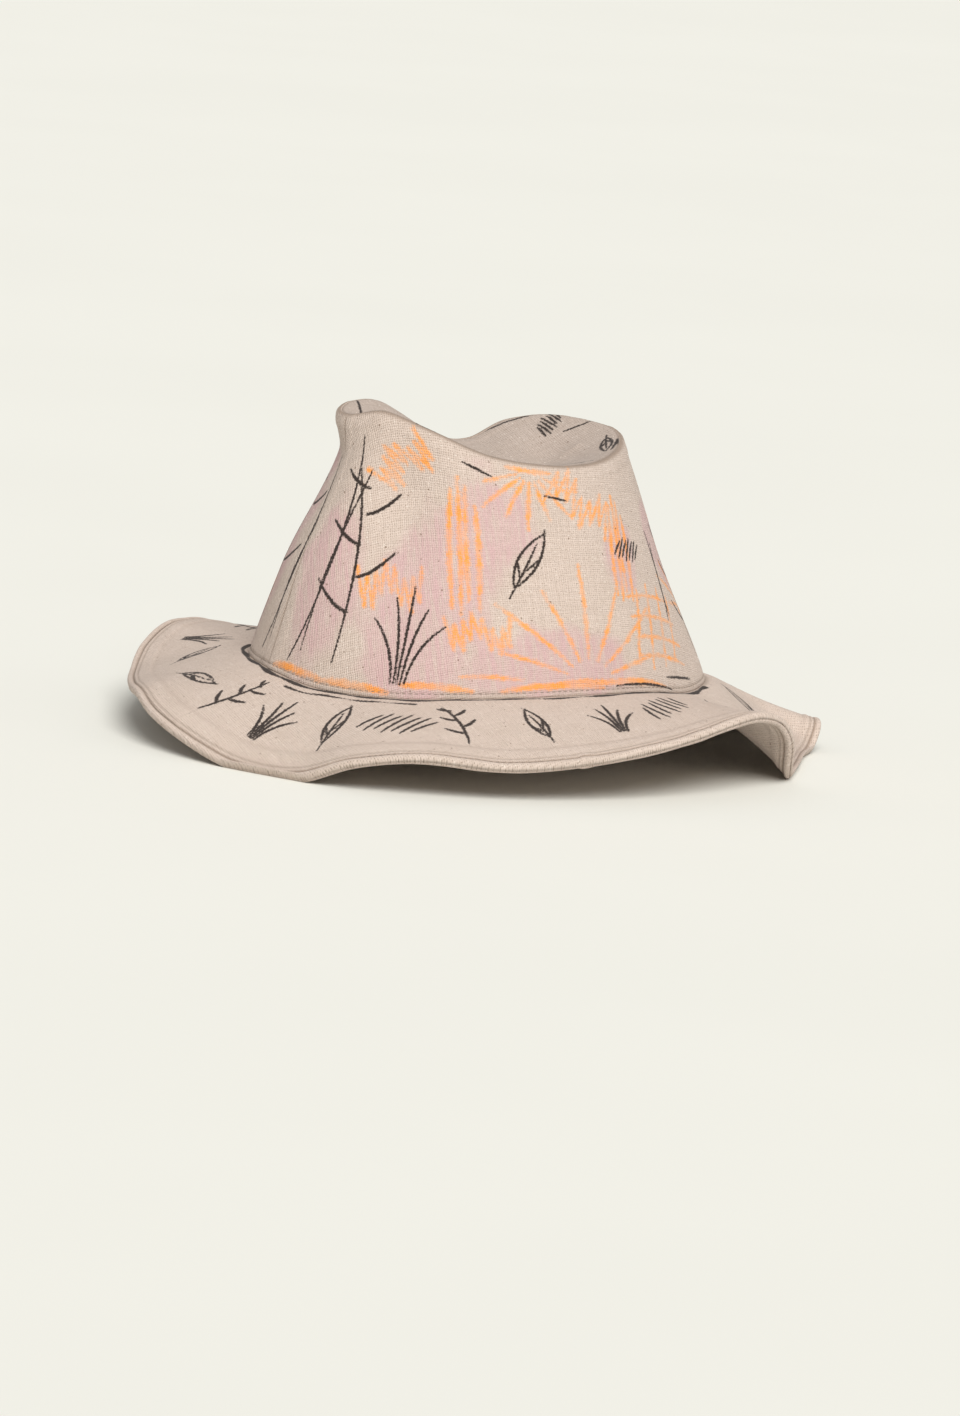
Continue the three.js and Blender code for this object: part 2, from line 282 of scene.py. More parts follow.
def dent_depth(clock, height):
    depth = 0
    for at, wide, share, low, deep, high in zip(*WALL_DENTS.values()):
        upward = smoothstep(height, low, deep) * (1 - smoothstep(height, deep, high))
        depth = depth + share * HEAD_WIDTH / 2 * bell(clock_gap(clock, at), wide) * upward
    return depth


def wall_point(clock, height):
    foot = seam_point(clock)
    foot[..., 2] += SEAM_GAP / 2 + BRIM_CLOTH + SEAM_GAP
    swell = WALL_SWELL * (1 - (2 * height - 1) ** 2) - dent_depth(clock, height)
    share = np.asarray(height)[..., None]
    return foot * (1 - share) + rim_point(clock) * share + seam_outward(clock) * swell[..., None]


def wall_normal(clock, height):
    return surface_normal(wall_point, clock, height, PROBE_LENGTH / CROWN_HEIGHT)


def wall_inward(clock, height, depth):
    """Level step into the hat that makes a wall of that depth."""
    normal = wall_normal(clock, height)
    normal[..., 2] = 0
    level = np.linalg.norm(normal, axis=-1)
    return normal * (-np.asarray(depth) / level**2)[..., None]


def tip_point(clock, inset):
    """Tip panel, with inset going from 0 at the rim to 1 at the crease."""
    outline = rim_point(clock) + wall_inward(clock, 1.0 + 0 * clock, CROWN_CLOTH + SEAM_GAP)
    crease = outline * np.array([CREASE_HALF_WIDTH, CREASE_REACH, 0])
    along = crease[..., 1] / (TIP_LENGTH / 2)
    crease[..., 2] = CROWN_HEIGHT - CREASE_DEPTH * along_table(CREASE, "along", "depth", along)
    slope = (inset + smoothstep(inset, 0, 1)) / 2
    share = np.stack([inset, inset, slope], axis=-1)
    return outline * (1 - share) + crease * share


# Flat panels: where a point of the hat was on the cloth before it was sewn, in millimetres, and
# the turn of the panel's own upward direction there

HALF_BASE, HALF_RIM, WALL_SLANT = 299, 180, 108


def wall_flat(clock, height):
    opening = (HALF_BASE - HALF_RIM) / WALL_SLANT
    angle = opening * (np.mod(clock, HALF_TURN) / HALF_TURN - 0.5)
    radius = HALF_BASE / opening - WALL_SLANT * height
    return np.stack([radius * np.sin(angle), HALF_BASE / opening - radius * np.cos(angle)], axis=-1), -angle


def brim_flat(clock, reach):
    outward = seam_outward(clock)
    place = seam_point(clock)[..., :2] + outward[..., :2] * np.asarray(reach)[..., None]
    return place, np.arctan2(-outward[..., 0], -outward[..., 1])


def tip_flat(clock, inset):
    return tip_point(clock, inset)[..., :2], 0.0 * np.asarray(clock)


# Grids: fineness of the visible surfaces, how much coarser the hidden ones are, and the fine
# steps in from an edge

WALL_COLUMNS, WALL_ROWS = 468, 180
TIP_COLUMNS, TIP_ROWS = 432, 60
BRIM_COLUMNS, BRIM_ROWS = 1200, 72
FACING_COLUMNS, FACING_ROWS = 840, 60
STRIDE = 6
PANEL_EDGE_STEPS = (0, 0.2, 0.45, 0.75, 1.1, 1.5, 2.0)
BRIM_EDGE_STEPS = (0, 0.15, 0.35, 0.6, 0.9)
EDGE_ZONE, EDGE_STEP = 7.5, 0.3


def spread(count, length):
    """Shares from 0 to 1, close together at both ends and even between."""
    near = np.array(PANEL_EDGE_STEPS) / length
    middle = np.linspace(near[-1], 1 - near[-1], count - 2 * len(near) + 2)
    return np.concatenate([near[:-1], middle, (1 - near[:-1])[::-1]])


def brim_reaches(rows):
    """Steps across the brim, close together over the stitched edge and at its rim."""
    start = -(CROWN_CLOTH + MARGIN_LAP)
    rim = np.array(BRIM_EDGE_STEPS)
    edge = np.concatenate([rim, np.arange(rim[-1] + EDGE_STEP, EDGE_ZONE, EDGE_STEP)])
    middle = np.linspace(start, BRIM_WIDTH - EDGE_ZONE, rows - len(edge) + 1)
    return np.concatenate([middle, BRIM_WIDTH - edge[::-1]])


def thinned(grid):
    return grid[::STRIDE, ::STRIDE]


def quads(index, closed):
    """Faces of a grid of vertex numbers."""
    if closed:
        index = np.concatenate([index, index[:1]])
    corners = (index[:-1, :-1], index[1:, :-1], index[1:, 1:], index[:-1, 1:])
    return np.stack(corners, axis=-1).reshape(-1, 4)


def bridge(fine, coarse):
    """Triangles between a fine edge and a coarse one that run side by side."""
    stride = (len(fine) - 1) // (len(coarse) - 1)
    fans = np.stack([fine[:-1], fine[1:], np.repeat(coarse[:-1], stride)], axis=1)
    corners = np.stack([fine[stride::stride], coarse[1:], coarse[:-1]], axis=1)
    return np.concatenate([fans, corners])


def zipped(ring):
    """Faces across the middle of a ring that is flattened onto a line."""
    half = len(ring) // 2
    column = np.arange(1, half - 1)
    across = np.stack([ring[column], ring[column + 1], ring[-column - 1], ring[-column]], axis=1)
    ends = np.array([[ring[0], ring[1], ring[-1]], [ring[half - 1], ring[half], ring[half + 1]]])
    return across, ends


def shell(outer, inner, closed=True, cap=False):
    """Points and faces of closed cloth between a fine grid and a coarser one behind it."""
    columns, rows = outer.shape[:2]
    front = np.arange(columns * rows).reshape(columns, rows)
    back = front.size + np.arange(inner.shape[0] * inner.shape[1]).reshape(inner.shape[:2])
    faces = [quads(front, closed), quads(back, closed)[:, ::-1]]
    loops = [(front[:, 0], back[:, 0], -1)]
    if cap:
        faces += [*zipped(front[:, -1]), *(part[:, ::-1] for part in zipped(back[:, -1]))]
    else:
        loops.append((front[:, -1], back[:, -1], 1))
    for fine, coarse, turned in loops:
        if closed:
            fine, coarse = np.append(fine, fine[0]), np.append(coarse, coarse[0])
        faces.append(bridge(fine, coarse)[:, ::turned])
    if not closed:
        faces += [bridge(front[0], back[0]), bridge(front[-1], back[-1])[:, ::-1]]
    return np.concatenate([outer.reshape(-1, 3), inner.reshape(-1, 3)]), faces


def new_object(name, data):
    made = bpy.data.objects.new(name, data)
    bpy.context.collection.objects.link(made)
    return made


def turn_to(thing, quaternion):
    thing.rotation_mode = "QUATERNION"
    thing.rotation_quaternion = quaternion


def add_field(mesh, name, values):
    """Keeps a number or a vector for each point of a mesh."""
    kind, key = ("FLOAT_VECTOR", "vector") if values.ndim == 2 else ("FLOAT", "value")
    attribute = mesh.attributes.new(name, kind, "POINT")
    attribute.data.foreach_set(key, values.astype(np.float32).ravel())


def make_mesh(name, cloth, fields):
    placed, faces = cloth
    mesh = bpy.data.meshes.new(name)
    mesh.from_pydata((placed * MM).tolist(), [], [face for part in faces for face in part.tolist()])
    for key, values in fields.items():
        add_field(mesh, key, values)
    mesh.polygons.foreach_set("use_smooth", [True] * len(mesh.polygons))
    mesh.update()
    return new_object(name, mesh)


# Motifs: strokes on a drawing of unit height. A stroke is its points and, for each of them, half
# the width as a share of the crayon's.

LINE_POINTS = 14
THIN_END = 0.35
LIGHT, FIRM, HEAVY, BROAD = 0.8, 1.25, 1.3, 1.7


def stroke(start, middle, end, weight=1.0):
    """Curved stroke drawn by hand, thin at both ends."""
    share = np.linspace(0, 1, LINE_POINTS)[:, None]
    start, middle, end = (np.array(point, float) for point in (start, middle, end))
    line = start * (1 - share) ** 2 + middle * 2 * share * (1 - share) + end * share**2
    swell = np.sqrt(np.sin(math.pi * np.clip(share[:, 0], 0.02, 0.98)))
    return line, weight / 2 * (THIN_END + (1 - THIN_END) * swell)


def leaf():
    yield stroke((0, 0), (-0.28, 0.45), (0.04, 1))
    yield stroke((0, 0), (0.28, 0.5), (0, 1.04))
    yield stroke((0, -0.18), (0.03, 0.3), (0, 0.78), LIGHT)
    yield stroke((0.02, 0.3), (0.08, 0.4), (0.12, 0.56), LIGHT)
    yield stroke((0.02, 0.16), (-0.06, 0.28), (-0.12, 0.4), LIGHT)


def sprig():
    """Bent stem with leaves on alternate sides, shorter toward its tip."""
    yield stroke((0, 0), (0.1, 0.5), (-0.04, 1))
    left = 0.045
    for index, height in enumerate((0.25, 0.42, 0.58, 0.73, 0.86)):
        side = 1 if index % 2 else -1
        long = 0.26 * (1.15 - 0.5 * height)
        middle = (left + side * long * 0.4, height + long * 0.05)
        tip = (left + side * long * 0.85, height + long * 0.6)
        yield stroke((left, height), middle, tip, FIRM)


def tuft():
    """Blades that rise from one place."""
    for lean, tall in ((-0.5, 0.62), (-0.26, 0.85), (-0.04, 1.0), (0.2, 0.8), (0.46, 0.66)):
        yield stroke((0.16 * lean, 0), (0.2 * lean, 0.6 * tall), (0.8 * lean, tall))


def hatch():
    """Leaning strokes side by side."""
    for index, tall in enumerate((0.34, 0.5, 0.42, 0.56, 0.46, 0.52, 0.36)):
        left = (index - 3) * 0.12
        yield stroke((left - 0.08, -tall / 2), (left, 0), (left + 0.13, tall / 2))


def scribble():
    """Open zigzag of uneven turns, drawn without lifting the crayon."""
    turn = np.arange(15)
    share = np.linspace(0, 1, len(turn))
    side = np.where(turn % 2, 0.4, -0.36) * (0.62 + 0.38 * np.sin(2.4 * turn))
    corners = np.column_stack([side + 0.3 * share - 0.1, (share - 0.5) * 1.1])
    yield corners, np.full(len(turn), 0.42)


def sweep():
    """Two long bent strokes that cross near one end."""
    yield stroke((0, 0), (0.16, 0.45), (0.02, 1))
    yield stroke((0.07, 0.06), (0.06, 0.5), (0.12, 0.86), LIGHT)


def lattice():
    """Open lattice of crossing strokes."""
    for place, tall in ((-0.36, 0.44), (-0.14, 0.5), (0.1, 0.46), (0.34, 0.36)):
        yield stroke((place - 0.1, -tall), (place + 0.03, 0), (place + 0.14, tall))
        yield stroke((-0.42, place), (0, place + 0.07), (0.45, place - 0.05))


def rays():
    """Rays that spread upward from a short bar."""
    yield stroke((-0.3, 0), (0, 0.03), (0.32, -0.01), HEAVY)
    for index, outer in enumerate((0.72, 0.95, 0.84, 1.0, 0.88, 0.96, 0.7)):
        angle = math.radians(22 * (index - 3))
        ray = np.array([math.sin(angle), math.cos(angle)])
        foot, tip = 0.2 * ray, outer * ray
        yield stroke(foot, (foot + tip) / 2 + (0.02, 0), tip)


def ribbon():
    """Long upright strokes that almost touch, as a crayon fills a stripe."""
    lines = (
        (-0.09, -0.11, 0.05, 0.9), (-0.03, -0.01, 0, 1), (0.03, 0.01, 0.1, 0.95), (0.1, 0.12, 0.02, 0.82),
    )
    for left, bend, low, high in lines:
        yield stroke((left, low), (bend, 0.5), (0.9 * left, high), HEAVY)


def dash(weight=1.0):
    yield stroke((-0.5, 0), (0, 0.03), (0.5, -0.02), weight)


def bar():
    """Dash drawn with the broad side of the crayon."""
    return dash(BROAD)


MOTIFS = {
    "leaf": leaf, "sprig": sprig, "tuft": tuft, "hatch": hatch, "scribble": scribble, "sweep": sweep,
    "lattice": lattice, "rays": rays, "ribbon": ribbon, "dash": dash, "bar": bar,
}

# Marks and rubbed patches: place is the height up the wall, the inset on the tip or the reach on
# the brim, turn is in degrees, and sizes are in millimetres

Mark = namedtuple("Mark", "motif clock place turn size")
Patch = namedtuple("Patch", "clock place turn width height")
WALL_CHARCOAL_WIDTH, BRIM_CHARCOAL_WIDTH, CRAYON_WIDTH = 1.0, 1.3, 2.0


def marks(**groups):
    """Marks by motif: each row is the clock angle, the place, the turn and the size."""
    return [Mark(motif, *row) for motif, rows in groups.items() for row in rows]


LEFT_CHARCOAL = marks(
    sweep=[(8, 0.06, 2, 92), (134, 0.3, 8, 40)],
    sprig=[(24, 0.1, -6, 78), (150, 0.12, 6, 60)],
    tuft=[(44, 0.05, 3, 40)],
    leaf=[(74, 0.46, 24, 30)],
    dash=[(60, 0.93, 8, 12), (90, 0.86, 10, 10), (112, 0.03, 2, 34), (128, 0.06, 4, 22)],
    hatch=[(120, 0.62, 14, 20)],
)
LEFT_CRAYON = marks(
    rays=[(94, 0.05, 2, 56), (80, 0.97, 182, 28), (156, 0.3, -6, 34)],
    ribbon=[(60, 0.34, -6, 58), (112, 0.4, 10, 50)],
    scribble=[(36, 0.42, 70, 26), (100, 0.82, -66, 30), (30, 0.86, 30, 24), (64, 0.28, 78, 24),
              (168, 0.7, 60, 26)],
    lattice=[(124, 0.28, 6, 40)],
    bar=[(12, 0.035, -3, 30), (31, 0.03, 1, 36), (54, 0.045, 3, 30), (84, 0.04, -1, 44),
         (106, 0.045, 1, 44)],
    dash=[(68, 0.085, 3, 26)],
)
LEFT_PINK = (
    Patch(14, 0.36, -4, 36, 74), Patch(50, 0.36, 10, 58, 88), Patch(84, 0.14, 2, 84, 34),
    Patch(66, 0.74, -8, 40, 44), Patch(150, 0.6, 8, 34, 44), Patch(116, 0.6, 6, 22, 36),
)
RIGHT_CHARCOAL = marks(
    sweep=[(352, 0.06, 2, 84)],
    sprig=[(338, 0.08, 3, 80), (262, 0.18, -8, 60)],
    leaf=[(318, 0.4, -20, 28), (236, 0.5, 18, 32)],
    tuft=[(292, 0.05, 0, 40)],
    hatch=[(208, 0.36, 10, 24)],
    dash=[(304, 0.82, 8, 20)],
)
RIGHT_CRAYON = marks(
    scribble=[(330, 0.3, 64, 28), (222, 0.76, -68, 28)],
    rays=[(276, 0.5, 4, 36), (198, 0.08, 0, 40)],
    ribbon=[(248, 0.12, 6, 56)],
    lattice=[(306, 0.4, 4, 36)],
    bar=[(318, 0.04, 0, 36), (290, 0.035, 2, 40), (226, 0.04, 0, 44)],
    dash=[(262, 0.04, 2, 40)],
)
RIGHT_PINK = (
    Patch(336, 0.5, 6, 46, 90), Patch(284, 0.22, 0, 70, 36), Patch(214, 0.5, -8, 44, 64),
)
TIP_CHARCOAL = marks(
    tuft=[(44, 0.34, 150, 16)],
    leaf=[(165, 0.25, 120, 18), (300, 0.3, 250, 18)],
    sweep=[(120, 0.08, 196, 34)],
    dash=[(205, 0.3, 100, 12), (335, 0.2, 20, 18), (246, 0.06, 100, 26), (152, 0.05, 40, 18)],
    hatch=[(226, 0.22, 60, 18)],
)
BRIM_CHARCOAL = marks(
    leaf=[(348, 34, 64, 27), (34, 39, 4, 27), (76, 38, -10, 26), (119, 30, 40, 28), (150, 34, 20, 28),
          (211, 34, 50, 28), (274, 34, -50, 28), (333, 34, -44, 26)],
    sprig=[(5, 42, 14, 34), (61, 43, -14, 34), (172, 42, -20, 34), (232, 42, -20, 34), (295, 42, 24, 34)],
    tuft=[(19, 42, 12, 28), (90, 40, 10, 27), (191, 40, 10, 26), (315, 40, 6, 26)],
    hatch=[(47, 27, 12, 34), (104, 24, -22, 34), (254, 26, 20, 32)],
)

# Long lines along the foot of the crown, with waves given by size and number in a full turn
BASE_LINES = table(
    "start end reach width",
    (-36, 60, 1.9, 2.7), (52, 100, 2.4, 1.8), (94, 142, 1.9, 2.7), (14, 50, 6.4, 1.5), (200, 320, 2.0, 2.4),
)
BASE_LINE_POINTS = 60
WANDER = ((0.6, 9), (0.4, 23))
UNEVEN_WIDTH = (0.25, 31)


def mark_axes(mark, flat):
    """Where a mark stands on the flat panel, and the matrix that turns its drawing there."""
    place, turn = flat(np.array(float(mark.clock)), np.array(float(mark.place)))
    angle = float(turn) + math.radians(mark.turn)
    return place, np.array([[math.cos(angle), -math.sin(angle)], [math.sin(angle), math.cos(angle)]])


def draw(rows, flat, width):
    """Strokes of some marks on the flat panel, for a crayon or charcoal of that width."""
    strokes = []
    for mark in rows:
        place, axes = mark_axes(mark, flat)
        for line, half in MOTIFS[mark.motif]():
            strokes.append((place + mark.size * line @ axes, width * half))
    return strokes


def base_line(start, end, reach, width):
    """Wandering line of uneven width on the flat brim."""
    clocks = np.linspace(start, end, BASE_LINE_POINTS)
    waves = (size * np.sin(np.radians(turns * clocks)) for size, turns in WANDER)
    share, turns = UNEVEN_WIDTH
    thickness = 1 - share + share * np.sin(np.radians(turns * clocks))
    return brim_flat(clocks, sum(waves, reach))[0], width / 2 * thickness


# Relief and fields of the panels

Humps = namedtuple("Humps", "size height seed")
HUMP_GRID = 64
WALL_HUMPS = (Humps(34, 0.35, 1), Humps(13, 0.14, 2))
WALL_PUCKER, FOOT_SHARE, RIM_SHARE = Humps(4.5, 1.0, 3), 0.16, 0.14
PATCH_EDGE = Humps(9, 0.22, 5)
TIP_HUMPS, TIP_PUCKER = Humps(22, 0.3, 6), Humps(4.5, 0.14, 7)
EDGE_PUCKER, EDGE_RIPPLE = Humps(4.5, 0.06, 8), Humps(9, 0.16, 9)
BRIM_HUMPS = {1: Humps(26, 0.3, 11), -1: Humps(26, 0.3, 9)}
PUCKER_REACH = 5
TIP_HUMPS_RISE = (1, 12)
EDGE_PUCKER_INSET = 4
EDGE_RIPPLE_FADE = (8, 20)
ROOT_CALM = 6

# Seams: gap between the brim's layers, how far the upper one wraps the lower, how far in its
# hidden side stops, and the roll of a panel's edge
TOUCHING = 0.02
EDGE_WRAP = 0.35
EDGE_HIDDEN = 0.9
SIDE_ROLL = 0.9
TIP_ROLL, TIP_OVERLAP, TIP_OVERLAP_WIDTH = 1.3, 0.3, 1.2
TIP_STEP_POWER = 1.2
SEAM_NUDGE = 1e-6

# Allowances folded behind the cloth: where the rise starts to fall, where it ends, its height
Allowance = namedtuple("Allowance", "start end rise")
SIDE_ALLOWANCE, RIM_ALLOWANCE = Allowance(6, 9, 0.3), Allowance(5, 8, 0.35)
TIP_ALLOWANCE = Allowance(5, 8, 0.3)

# Edge of the brim, measured in from it: its roll, two stitched grooves, the allowance inside,
# widest near the front, and the step where the edge's cloth is joined
ROLL_WIDTH, ROLL_RISE = 3.2, 0.35
# dark is how strong the painted shade in each stitched groove is
Groove = namedtuple("Groove", "inset depth dark")
EDGE_GROOVES = (Groove(3.6, 0.55, 1.0), Groove(5.8, 0.275, 0.5))
GROOVE_WIDTH = 0.6
ALLOWANCE, ALLOWANCE_WIDER, ALLOWANCE_RISE = 10.5, 3, 0.6
ALLOWANCE_CLOCK, ALLOWANCE_SLOPE = 15, 1
JOINT_CLOCK, JOINT_RISE = 79, 0.5
JOINT_STEP, JOINT_FADE, JOINT_INSETS = (-0.25, 0.25), (0.8, 3), (5, 7)

# Painted shade along the seams, in their grooves, creases and steps, with some darkness of the stitch holes:
# how dark, and how wide
CROWN_STITCH_HEIGHT, CROWN_GROOVE_DEPTH = 2.0, 0.3
Shade = namedtuple("Shade", "dark width")
CROWN_STITCH_SHADE = Shade(0.6, GROOVE_WIDTH)
RIM_SHADE, SIDE_SHADE, FOOT_SHADE = Shade(1.0, 1.0), Shade(0.8, SIDE_ROLL), Shade(0.5, 1.2)
TIP_SHADE = Shade(1.0, 1.2)
ROOT_SHADE = Shade(0.8, 1.3)
ALLOWANCE_SHADE, ALLOWANCE_SHADE_INSET = Shade(0.22, 1.0), 0.8

# How far a stroke's field reaches, and where a rubbed patch fades, as shares of its half size
FIELD_REACH = 3.0
PATCH_FADE = (0.7, 1.1)


def unevenness(flat, humps):
    """Smooth random height over a flat panel, in humps of one size."""
    heights = np.random.default_rng(humps.seed).uniform(-1, 1, (HUMP_GRID, HUMP_GRID))
    u, v = flat[..., 0] / humps.size, flat[..., 1] / humps.size
    column, row = np.floor(u).astype(int), np.floor(v).astype(int)
    right, above = smoothstep(u - column, 0, 1), smoothstep(v - row, 0, 1)
    value = 0
    for i, across in ((0, 1 - right), (1, right)):
        for j, up in ((0, 1 - above), (1, above)):
            value = value + heights[(column + i) % HUMP_GRID, (row + j) % HUMP_GRID] * across * up
    return humps.height * value


def rounded(distance, radius):
    """How far a rolled edge of that radius falls away at a distance from the edge."""
    inside = np.clip(1 - distance / radius, 0, 1)
    return radius * (1 - np.sqrt(1 - inside**2))


def fading(distance):
    """Share of a pucker that is left at a distance from its seam."""
    return np.exp(-distance / PUCKER_REACH)


def folded(distance, allowance):
    """Rise of the cloth over the allowance folded behind it."""
    return allowance.rise * (1 - smoothstep(distance, allowance.start, allowance.end))


def shaded(distance, shade):
    return shade.dark * bell(distance, shade.width)


def stroke_field(flat, strokes):
    """Distance from each point of a flat panel to the edge of the nearest stroke."""
    field = np.full(len(flat), FIELD_REACH)
    for line, half in strokes:
        low, high = line.min(axis=0) - FIELD_REACH, line.max(axis=0) + FIELD_REACH
        near = np.flatnonzero(((flat > low) & (flat < high)).all(axis=1))
        for start, end, thin, thick in zip(line[:-1], line[1:], half[:-1], half[1:]):
            along, away = end - start, flat[near] - start
            share = np.clip(away @ along / (along @ along), 0, 1)
            gap = np.linalg.norm(away - share[:, None] * along, axis=1) - thin - (thick - thin) * share
            field[near] = np.minimum(field[near], gap)
    return field


def patch_field(flat, patches):
    """Strength from 0 to 1 of the wall's soft rubbed patches with ragged edges."""
    field = np.zeros(len(flat))
    for patch in patches:
        place, axes = mark_axes(patch, wall_flat)
        across, up = ((flat - place) @ axes.T).T
        far = np.hypot(across / (patch.width / 2), up / (patch.height / 2)) + unevenness(flat, PATCH_EDGE)
        field = np.maximum(field, 1 - smoothstep(far, *PATCH_FADE))
    return field


def panel_fields(flat, behind, seam_shade, crayon=(), charcoal=(), pink=()):
    """Place on the cloth, marks and the painted shade of the seam lines at a panel's points. The hidden side
    is bare.
    """
    front, hidden = flat.reshape(-1, 2), behind.reshape(-1, 2)
    cloth = np.concatenate([front, hidden])
    covers = {
        "crayon": (stroke_field(front, crayon), FIELD_REACH),
        "charcoal": (stroke_field(front, charcoal), FIELD_REACH),
        "pink": (patch_field(front, pink), 0),
        # seam: painted shade along seams, grooves and creases, with some darkness of the stitch holes
        "seam": (seam_shade.ravel(), 0),
    }
    fields = {"cloth": np.column_stack([cloth, 0 * cloth[:, 0]])}
    for name, (values, bare) in covers.items():
        fields[name] = np.concatenate([values, np.full(len(hidden), bare)])
    return fields


# Crown


def wall_relief(clock, height, flat):
    """Small hollows of the wall's cloth, and puckers and allowances along its seams."""
    base, top = height * WALL_SLANT, (1 - height) * WALL_SLANT
    turn = np.mod(clock, HALF_TURN)
    side = np.minimum(turn, HALF_TURN - turn) / HALF_TURN * HALF_BASE
    soft = sum(unevenness(flat, humps) for humps in WALL_HUMPS)
    pucker = unevenness(flat, WALL_PUCKER) * (FOOT_SHARE * fading(base) + RIM_SHARE * fading(top))
    groove = CROWN_GROOVE_DEPTH * bell(base - CROWN_STITCH_HEIGHT, GROOVE_WIDTH)
    return soft + pucker - groove + (folded(side, SIDE_ALLOWANCE) + folded(top, RIM_ALLOWANCE))


def wall_seam_shade(height, side):
    """Darkness of the lines along the wall's seams: painted shade, with some darkness of the stitch holes.
    """
    base, top = height * WALL_SLANT, (1 - height) * WALL_SLANT
    stitches = shaded(base - CROWN_STITCH_HEIGHT, CROWN_STITCH_SHADE)
    edges = (shaded(top, RIM_SHADE), shaded(side, SIDE_SHADE), shaded(base, FOOT_SHADE))
    return np.maximum.reduce([stitches, *edges])


def crown_side(name, start, end, crayon, charcoal, pink):
    """Half of the crown's wall, between two clock angles."""
    shares, heights = spread(WALL_COLUMNS + 1, HALF_BASE), spread(WALL_ROWS + 1, CROWN_HEIGHT)
    clock, height = np.meshgrid(start + (end - start) * shares, heights, indexing="ij")
    flat = wall_flat(np.clip(clock, start + SEAM_NUDGE, end - SEAM_NUDGE), height)[0]
    side = np.minimum(shares, 1 - shares)[:, None] * HALF_BASE + 0 * height
    fall = rounded((1 - height) * CROWN_HEIGHT, CROWN_CLOTH)
    fall = fall + rounded(side, SIDE_ROLL) * (1 - fall / CROWN_CLOTH)
    outer = wall_point(clock, height) + wall_inward(clock, height, fall)
    outer += wall_normal(clock, height) * wall_relief(clock, height, flat)[..., None]
    outer[:, 0, 2] -= SEAM_GAP
    coarse, tall = thinned(clock), thinned(height)
    inner = wall_point(coarse, tall) + wall_inward(coarse, tall, CROWN_CLOTH)
    fields = panel_fields(
        flat, thinned(flat), wall_seam_shade(height, side),
        crayon=draw(crayon, wall_flat, CRAYON_WIDTH),
        charcoal=draw(charcoal, wall_flat, WALL_CHARCOAL_WIDTH),
        pink=pink,
    )
    return make_mesh(name, shell(stand(outer) + SHIFT, stand(inner) + SHIFT, closed=False), fields)


def crown_tip(name):
    """Oval top panel, whose edge reaches out over the wall's cloth."""
    insets = np.linspace(0, 1, TIP_ROWS + 1) ** TIP_STEP_POWER
    clock, inset = np.meshgrid(even_clocks(TIP_COLUMNS), insets, indexing="ij")
    outer = tip_point(clock, inset)
    flat = outer[..., :2].copy()
    away = inset * TIP_WIDTH / 2
    overlap = wall_inward(clock, 1 + 0 * clock, SEAM_GAP + TIP_OVERLAP)
    outer[..., :2] -= overlap[..., :2] * bell(away, TIP_OVERLAP_WIDTH)[..., None]
    outer[..., 2] -= rounded(away, TIP_ROLL)
    outer[..., 2] += unevenness(flat, TIP_HUMPS) * smoothstep(away, *TIP_HUMPS_RISE)
    outer[..., 2] += unevenness(flat, TIP_PUCKER) * fading(away)
    outer[..., 2] += folded(away, TIP_ALLOWANCE)
    inner = tip_point(thinned(clock), thinned(inset))
    inner[..., 2] -= TIP_CLOTH
    charcoal = draw(TIP_CHARCOAL, tip_flat, WALL_CHARCOAL_WIDTH)
    fields = panel_fields(flat, inner[..., :2], shaded(away, TIP_SHADE), charcoal=charcoal)
    return make_mesh(name, shell(stand(outer) + SHIFT, stand(inner) + SHIFT, cap=True), fields)


# Brim


def allowance_end(clock):
    return ALLOWANCE + ALLOWANCE_WIDER * np.cos(np.radians(clock - ALLOWANCE_CLOCK))


def edge_joint(clock, inset):
    """Rise from 0 to 1 where one end of the edge's cloth lies over the other."""
    turn = clock_gap(clock, JOINT_CLOCK)
    along = smoothstep(turn, *JOINT_STEP) * (1 - smoothstep(turn, *JOINT_FADE))
    return along * (1 - smoothstep(inset, *JOINT_INSETS))


def edge_relief(clock, inset, flat):
    """Rise of the brim's cloth over the folds and stitches along its edge."""
    end = allowance_end(clock)
    inside = Allowance(end - ALLOWANCE_SLOPE, end + ALLOWANCE_SLOPE, ALLOWANCE_RISE)
    rise = ROLL_RISE * np.sin(math.pi * np.clip(inset / ROLL_WIDTH, 0, 1)) + folded(inset, inside)
    for groove in EDGE_GROOVES:
        rise = rise - groove.depth * bell(inset - groove.inset, GROOVE_WIDTH)
    rise = rise + unevenness(flat, EDGE_PUCKER) * fading(np.abs(inset - EDGE_PUCKER_INSET))
    rise = rise + unevenness(flat, EDGE_RIPPLE) * (1 - smoothstep(inset, *EDGE_RIPPLE_FADE))
    return rise + JOINT_RISE * edge_joint(clock, inset)


def brim_seam_shade(clock, inset):
    """Darkness of the stitched lines along the brim's edge, of the allowance's step and of the crease at its
    root: painted shade, with some darkness of the stitch holes in the stitched lines.
    """
    grooves = [shaded(inset - groove.inset, Shade(groove.dark, GROOVE_WIDTH)) for groove in EDGE_GROOVES]
    root = shaded(BRIM_WIDTH - inset, ROOT_SHADE)
    allowance = shaded(inset - allowance_end(clock) - ALLOWANCE_SHADE_INSET, ALLOWANCE_SHADE)
    return np.maximum.reduce([*grooves, root, allowance])


